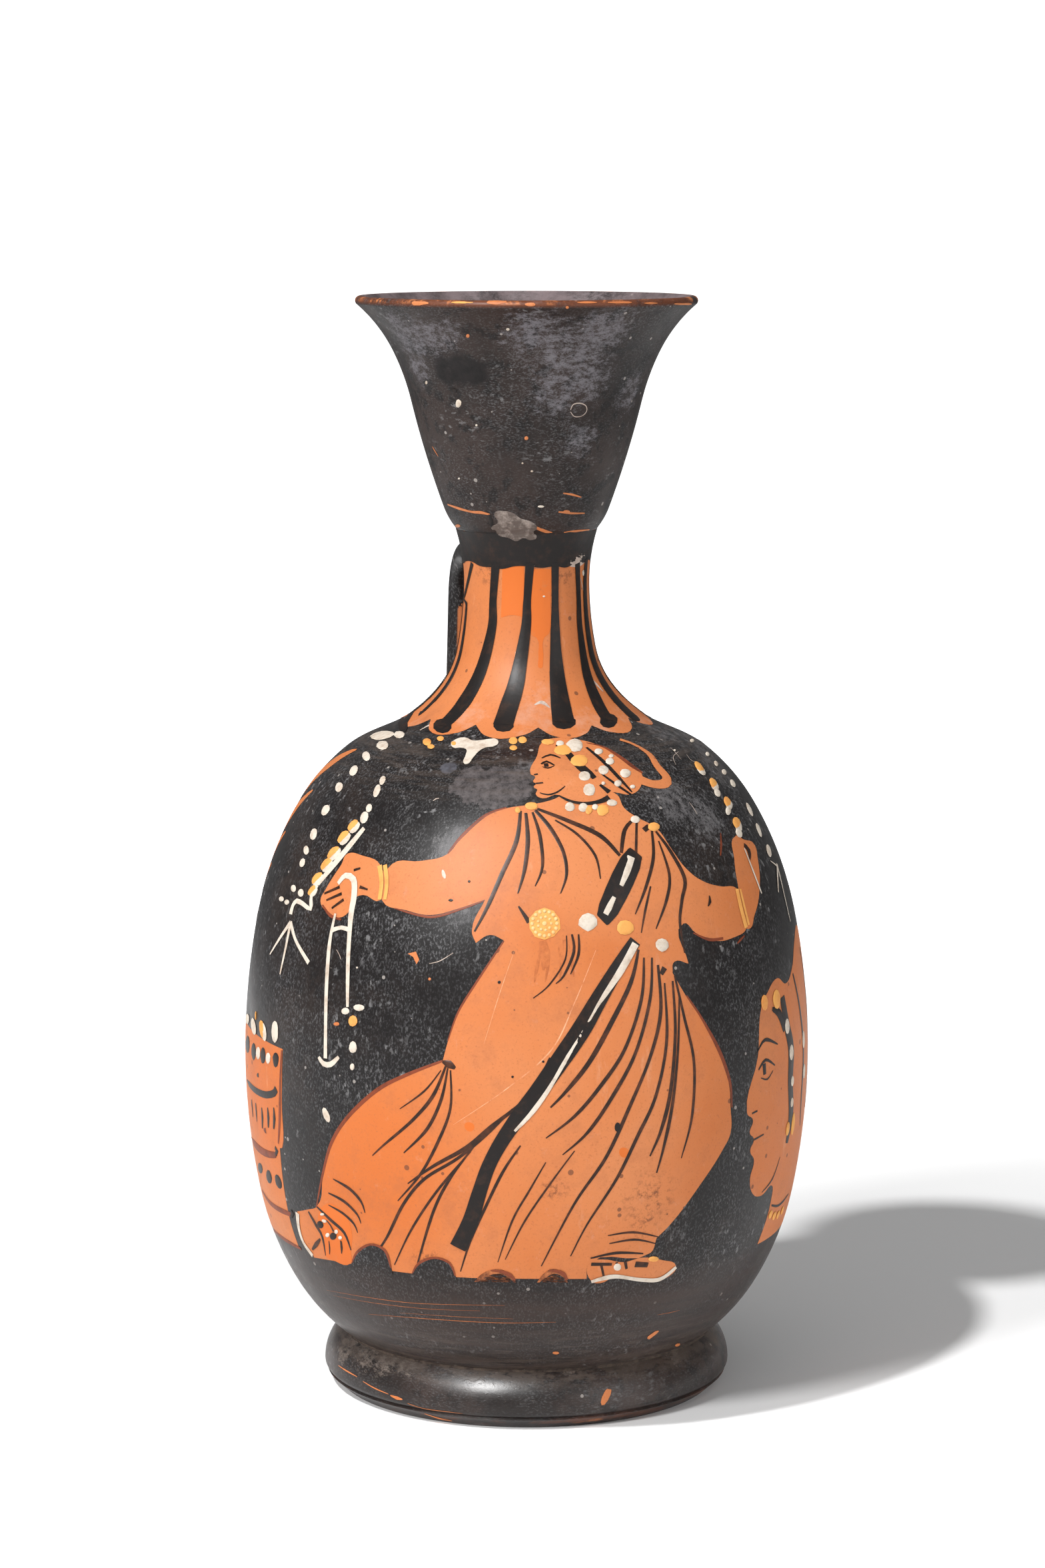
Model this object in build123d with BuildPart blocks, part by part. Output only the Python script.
"""A squat lekythos: a wheel-thrown oil flask with a bell mouth, a narrow neck, an ovoid body,
a ring foot and a strap handle. The thrown sections are separate pieces that seat in each other
and are held by luting slip, the way a potter joins them. Millimetres, +Z up, origin at the
centre of the resting ring, handle on +Y."""

import os
from math import cos, radians, sin, tan

from build123d import *

# Luting joints: the film of slip between two sections, the lip that closes it on the outside
# and the bed inside that lip at the mouth
lute = 0.6
joint_lip = 1.4
joint_bed = 1.8

# Foot: a low torus over a narrow base band
foot_height = 10.0
foot_base_radius = 35.0
foot_band_radius = 37.1
foot_band_height = 2.2
foot_groove = 0.3
foot_bulge_radius = 37.6
foot_bulge_rise = 1.2
foot_top_radius = 35.0
foot_edge = 0.5
foot_ring_inner_radius = 28.0
foot_bore_radius = 24.0
foot_bore_margin = 1.4

# Body: an ovoid shell with a turned boss under its floor; each rise is above the station before it
body_wall = 4.0
body_boss_depth = 2.6
body_base_radius = 34.7
body_hip_radius = 43.0
body_hip_rise = 9.4
body_flank_radius = 49.3
body_flank_rise = 16.2
body_belly_radius = 51.9
body_belly_rise = 25.4
body_chest_radius = 49.3
body_chest_rise = 26.4
body_shoulder_radius = 41.7
body_shoulder_rise = 20.0
body_slope_radius = 33.0
body_slope_rise = 10.0
body_collar_rise = 5.0
body_opening_radius = 16.0

# Neck: a tube that flares to the shoulder and to the mouth
shoulder_joint_radius = 23.0
neck_flare_radius = 15.6
neck_flare_rise = 6.5
neck_throat_radius = 12.5
neck_throat_rise = 7.0
neck_waist_radius = 11.35
neck_waist_rise = 12.0
neck_top_rise = 9.7
neck_bore_radius = 6.5
neck_bore_length = 32.0
neck_spigot_wall = 2.9
neck_tenon_length = 3.4

# Mouth: a bell with a thin rolled lip; it leaves the joint at an angle to the axis
mouth_joint_radius = 12.8
mouth_lean = 40.0
mouth_wall = 3.4
mouth_lip = 1.7
mouth_base_radius = 15.0
mouth_base_rise = 3.8
mouth_flank_radius = 20.9
mouth_flank_rise = 19.4
mouth_flare_radius = 24.0
mouth_flare_rise = 8.6
mouth_rim_radius = 30.6
mouth_rim_rise = 8.6
mouth_throat_rise = 1.6

# Handle: a strap from the top of the neck to the shoulder, flat inside and crowned outside, on a
# pad of luting clay at each end; its bend may take up a share of the shorter run
handle_width = 18.6
handle_thickness = 4.4
handle_crown = 1.1
handle_drop = 7.4
handle_rise = 4.8
handle_reach = 25.2
handle_bend_radius = 10.5
handle_bend_room = 0.9
handle_pad = 1.2
handle_pad_margin = 1.3

# Plaster fill of a chip cut square at the base of the mouth; its angle turns from the front to -X
fill_angle = 23.0
fill_width = 8.4
fill_height = 3.4
fill_level = 2.3
fill_depth = 1.5
fill_recess = 0.2

# Stations and levels worked out from the sizes above, as (radius, height)
upright = Vector(0, 1)
body_base = foot_height + lute
hip = (body_hip_radius, body_base + body_hip_rise)
flank = (body_flank_radius, hip[1] + body_flank_rise)
belly = (body_belly_radius, flank[1] + body_belly_rise)
chest = (body_chest_radius, belly[1] + body_chest_rise)
shoulder = (body_shoulder_radius, chest[1] + body_shoulder_rise)
slope = (body_slope_radius, shoulder[1] + body_slope_rise)
shoulder_joint = slope[1] + body_collar_rise
flare = (neck_flare_radius, shoulder_joint + neck_flare_rise)
throat = (neck_throat_radius, flare[1] + neck_throat_rise)
waist = (neck_waist_radius, throat[1] + neck_waist_rise)
mouth_joint = waist[1] + neck_top_rise
boss_level = body_base - body_boss_depth
boss_radius = foot_bore_radius - lute
spigot_level = shoulder_joint - body_wall
spigot_radius = body_opening_radius - lute
bed_radius = shoulder_joint_radius - joint_lip
tenon_level = mouth_joint + neck_tenon_length
tenon_radius = mouth_joint_radius - joint_lip - joint_bed
socket_radius = tenon_radius + lute
socket_level = tenon_level + lute

os.makedirs("parts", exist_ok=True)


def turned(tangent, start, end):
    """The way an arc points at its end, when it leaves its start along a tangent."""
    chord = (Vector(end) - Vector(start)).normalized()
    return chord * (2 * chord.dot(tangent)) - tangent


def arcs(start, tangent, *stations):
    """Arcs from station to station, each tangent to the one before; gives the last point and tangent."""
    for station in stations:
        TangentArc(start, station, tangent=tangent)
        start, tangent = station, turned(tangent, start, station)
    return start, tangent


def drawn_in(wall, start, tangent, *stations):
    """Stations of the same arcs, moved in by a wall square to the surface; the axis lies left of upright."""
    inner = []
    for station in stations:
        start, tangent = station, turned(tangent, start, station)
        inward = Vector(-tangent.Y, tangent.X) * (1 if tangent.Y > 0 else -1)
        inner.append(Vector(station) + inward * wall)
    return inner


def neck_outline(outward=0.0):
    """The outside of the neck, from its waist down to the shoulder joint and up to the mouth joint."""
    stations = [(radius + outward, level) for radius, level in (waist, throat, flare)]
    foot_of_neck = (shoulder_joint_radius + outward, shoulder_joint)
    top_of_neck = (mouth_joint_radius + outward, mouth_joint)
    arcs(stations[0], -upright, *stations[1:], foot_of_neck)
    arcs(stations[0], upright, top_of_neck)
    return foot_of_neck, top_of_neck


def body_outline():
    """The outside of the body, from the crevice above the foot to the shoulder joint."""
    base = (body_base_radius, body_base)
    top = (shoulder_joint_radius, shoulder_joint)
    tangent = -upright
    for start, end in ((waist, throat), (throat, flare), (flare, top)):
        tangent = turned(tangent, start, end)
    arcs(belly, -upright, flank, hip, base)
    crest, crest_tangent = arcs(belly, upright, chest, shoulder, slope)
    Spline(crest, top, tangents=(crest_tangent, -tangent))
    return base, top


def mouth_outline(inward=0.0):
    """The outside of the mouth, from its joint to the underside of the lip."""
    level = mouth_joint
    stations = []
    for radius, rise in (
        (mouth_base_radius, mouth_base_rise),
        (mouth_flank_radius, mouth_flank_rise),
        (mouth_flare_radius, mouth_flare_rise),
        (mouth_rim_radius, mouth_rim_rise),
    ):
        level += rise
        stations.append((radius - inward, level))
    joint = (mouth_joint_radius - inward, mouth_joint)
    lean = Vector(sin(radians(mouth_lean)), cos(radians(mouth_lean)))
    rim, rim_tangent = arcs(joint, lean, *stations)
    return joint, stations, rim, rim_tangent


def solid_form(outline):
    """An outline turned to a solid with no hollow, to cut or trim what seats on that surface."""
    with BuildPart() as form:
        with BuildSketch(Plane.XZ):
            with BuildLine():
                bottom, top = outline()
                Polyline(bottom, (0, bottom[1]), (0, top[1]), top)
            make_face()
        revolve(axis=Axis.Z)
    return form.part


def fill_outline():
    """The mouth's outside, drawn in by the recess of the plaster."""
    joint, _, rim, _ = mouth_outline(fill_recess)
    return joint, rim


def pad_outline():
    """The neck's outside, swelled by the thickness of the handle's upper pad."""
    return neck_outline(handle_pad)


def strap(margin=0.0):
    """The strap along its bend, running into the walls at both ends; margin widens it all round."""
    top = mouth_joint - handle_drop
    start = ((neck_bore_radius + neck_waist_radius) / 2, top)
    corner = (handle_reach, top + handle_rise)
    root = ((body_slope_radius + shoulder_joint_radius + body_wall) / 2, spigot_level - lute)
    upper_run = Vector(corner) - Vector(start)
    lower_run = Vector(root) - Vector(corner)
    half_turn = radians(upper_run.get_angle(lower_run) / 2)
    bend_limit = handle_bend_room * min(upper_run.length, lower_run.length) / tan(half_turn)
    side = handle_thickness / 2 + margin
    edge = handle_width / 2 + margin
    with BuildPart() as form:
        with BuildLine(Plane.YZ) as spine:
            FilletPolyline(start, corner, root, radius=min(handle_bend_radius, bend_limit))
        with BuildSketch(Plane(spine.line @ 0, x_dir=(1, 0, 0), z_dir=spine.line % 0)):
            with BuildLine():
                Line((side - edge, side), (edge - side, side))
                ThreePointArc((edge - side, side), (edge, 0), (edge - side, -side))
                ThreePointArc((edge - side, -side), (0, -side - handle_crown), (side - edge, -side))
                ThreePointArc((side - edge, -side), (-edge, 0), (side - edge, side))
            make_face()
        sweep(path=spine.line)
    return form.part


# Surfaces that the handle, its pads and the fill seat on
body_form = solid_form(body_outline)
neck_form = solid_form(neck_outline)
neck_pad_form = solid_form(pad_outline)
mouth_fill_form = solid_form(fill_outline)
body_pad_place = Location((0, 0, handle_pad))
handle_form = strap()
handle_pad_form = strap(handle_pad_margin)

# Chip in the base of the mouth that the plaster fills
chip_out = (-sin(radians(fill_angle)), -cos(radians(fill_angle)))
chip_reach = (mouth_joint_radius + mouth_base_radius) / 2 - fill_depth
chip_plane = Plane(
    (chip_out[0] * chip_reach, chip_out[1] * chip_reach, mouth_joint + fill_level),
    x_dir=(-chip_out[1], chip_out[0], 0),
    z_dir=(chip_out[0], chip_out[1], 0),
)
with BuildPart() as chip:
    with BuildSketch(chip_plane):
        Rectangle(fill_width, fill_height)
    extrude(amount=mouth_base_radius)

# Foot
with BuildPart() as foot:
    with BuildSketch(Plane.XZ):
        with BuildLine():
            band = Line((foot_base_radius, 0), (foot_band_radius, foot_band_height - foot_groove))
            groove = Polyline(
                band @ 1,
                (foot_band_radius - foot_groove, foot_band_height),
                (foot_band_radius, foot_band_height + foot_groove),
            )
            bulge = (foot_bulge_radius, foot_band_height + foot_bulge_rise)
            arcs(bulge, -upright, groove @ 1)
            foot_crest, _ = arcs(bulge, upright, (foot_top_radius, foot_height - foot_edge))
            Polyline(
                foot_crest,
                (foot_top_radius - foot_edge, foot_height),
                (foot_bore_radius, foot_height),
                (foot_bore_radius, boss_level - foot_bore_margin),
                (foot_ring_inner_radius, 0),
                band @ 0,
            )
        make_face()
    revolve(axis=Axis.Z)
foot.part.label = "foot"
export_step(foot.part, "parts/foot.step")

# Body, of even wall, with a boss under its floor and a bed for slip round its opening
with BuildPart() as body:
    with BuildSketch(Plane.XZ):
        with BuildLine():
            body_foot, body_top = body_outline()
            inner_belly = (body_belly_radius - body_wall, belly[1])
            inner_low = drawn_in(body_wall, belly, -upright, flank, hip, body_foot)
            inner_high = drawn_in(body_wall, belly, upright, chest, shoulder, slope)
            arcs(inner_belly, -upright, *inner_low)
            arcs(inner_belly, upright, *inner_high)
            Polyline(
                inner_low[-1],
                (0, inner_low[-1].Y),
                (0, boss_level),
                (boss_radius, boss_level),
                (boss_radius, body_base),
                body_foot,
            )
            Polyline(
                inner_high[-1],
                (body_opening_radius, spigot_level),
                (body_opening_radius, shoulder_joint - lute),
                (bed_radius, shoulder_joint - lute),
                (bed_radius, shoulder_joint),
                body_top,
            )
        make_face()
    revolve(axis=Axis.Z)
body.part.label = "body"
export_step(body.part, "parts/body.step")

# Neck, with a spigot into the body and a tenon into the mouth
with BuildPart() as neck:
    with BuildSketch(Plane.XZ):
        with BuildLine():
            foot_of_neck, top_of_neck = neck_outline()
            Polyline(
                top_of_neck,
                (tenon_radius, mouth_joint),
                (tenon_radius, tenon_level),
                (neck_bore_radius, tenon_level),
                (neck_bore_radius, tenon_level - neck_bore_length),
                (spigot_radius - neck_spigot_wall, spigot_level),
                (spigot_radius, spigot_level),
                (spigot_radius, shoulder_joint),
                foot_of_neck,
            )
        make_face()
    revolve(axis=Axis.Z)
neck.part.label = "neck"
export_step(neck.part, "parts/neck.step")

# Mouth, with a socket for the neck and a chipped base
with BuildPart() as mouth:
    with BuildSketch(Plane.XZ):
        with BuildLine():
            joint, stations, rim, rim_tangent = mouth_outline()
            lip = TangentArc(
                rim,
                Vector(rim) + Vector(-rim_tangent.Y, rim_tangent.X) * mouth_lip,
                tangent=rim_tangent,
            )
            bell = [(radius - mouth_wall, level) for radius, level in reversed(stations[1:-1])]
            throat_rim = (neck_bore_radius, socket_level + mouth_throat_rise)
            arcs(lip @ 1, -rim_tangent, *bell, throat_rim)
            Polyline(
                throat_rim,
                (neck_bore_radius, socket_level),
                (socket_radius, socket_level),
                (socket_radius, mouth_joint + lute),
                (mouth_joint_radius - joint_lip, mouth_joint + lute),
                (mouth_joint_radius - joint_lip, mouth_joint),
                joint,
            )
        make_face()
    revolve(axis=Axis.Z)
    add(chip.part, mode=Mode.SUBTRACT)
mouth.part.label = "mouth"
export_step(mouth.part, "parts/mouth.step")

# Plaster fill
with BuildPart() as repair_fill:
    add(chip.part)
    add(mouth_fill_form, mode=Mode.INTERSECT)
repair_fill.part.label = "repair_fill"
export_step(repair_fill.part, "parts/repair_fill.step")

# Slip between the foot and the body
with BuildPart() as foot_lute:
    with BuildSketch(Plane.XZ):
        with BuildLine():
            Polyline(
                (boss_radius, boss_level),
                (foot_bore_radius, boss_level),
                (foot_bore_radius, foot_height),
                (foot_top_radius - foot_edge, foot_height),
                (foot_top_radius - foot_edge, body_base),
                (boss_radius, body_base),
                close=True,
            )
        make_face()
    revolve(axis=Axis.Z)
foot_lute.part.label = "foot_lute"
export_step(foot_lute.part, "parts/foot_lute.step")

# Slip between the body and the neck
with BuildPart() as neck_lute:
    with BuildSketch(Plane.XZ):
        with BuildLine():
            Polyline(
                (spigot_radius, spigot_level),
                (body_opening_radius, spigot_level),
                (body_opening_radius, shoulder_joint - lute),
                (bed_radius, shoulder_joint - lute),
                (bed_radius, shoulder_joint),
                (spigot_radius, shoulder_joint),
                close=True,
            )
        make_face()
    revolve(axis=Axis.Z)
neck_lute.part.label = "neck_lute"
export_step(neck_lute.part, "parts/neck_lute.step")

# Slip between the neck and the mouth
with BuildPart() as mouth_lute:
    with BuildSketch(Plane.XZ):
        with BuildLine():
            Polyline(
                (tenon_radius, mouth_joint),
                (mouth_joint_radius - joint_lip, mouth_joint),
                (mouth_joint_radius - joint_lip, mouth_joint + lute),
                (socket_radius, mouth_joint + lute),
                (socket_radius, socket_level),
                (neck_bore_radius, socket_level),
                (neck_bore_radius, tenon_level),
                (tenon_radius, tenon_level),
                close=True,
            )
        make_face()
    revolve(axis=Axis.Z)
mouth_lute.part.label = "mouth_lute"
export_step(mouth_lute.part, "parts/mouth_lute.step")

# Handle, cut to the pads that it seats on
with BuildPart() as handle:
    add(handle_form)
    add(neck_pad_form, mode=Mode.SUBTRACT)
    with Locations(body_pad_place):
        add(body_form, mode=Mode.SUBTRACT)
handle.part.label = "handle"
export_step(handle.part, "parts/handle.step")

# Luting clay between the handle and the neck
with BuildPart() as handle_top_lute:
    add(handle_pad_form)
    add(neck_pad_form, mode=Mode.INTERSECT)
    add(neck_form, mode=Mode.SUBTRACT)
handle_top_lute.part.label = "handle_top_lute"
export_step(handle_top_lute.part, "parts/handle_top_lute.step")

# Luting clay between the handle and the shoulder
with BuildPart() as handle_root_lute:
    add(handle_pad_form)
    with Locations(body_pad_place):
        add(body_form, mode=Mode.INTERSECT)
    add(body_form, mode=Mode.SUBTRACT)
handle_root_lute.part.label = "handle_root_lute"
export_step(handle_root_lute.part, "parts/handle_root_lute.step")
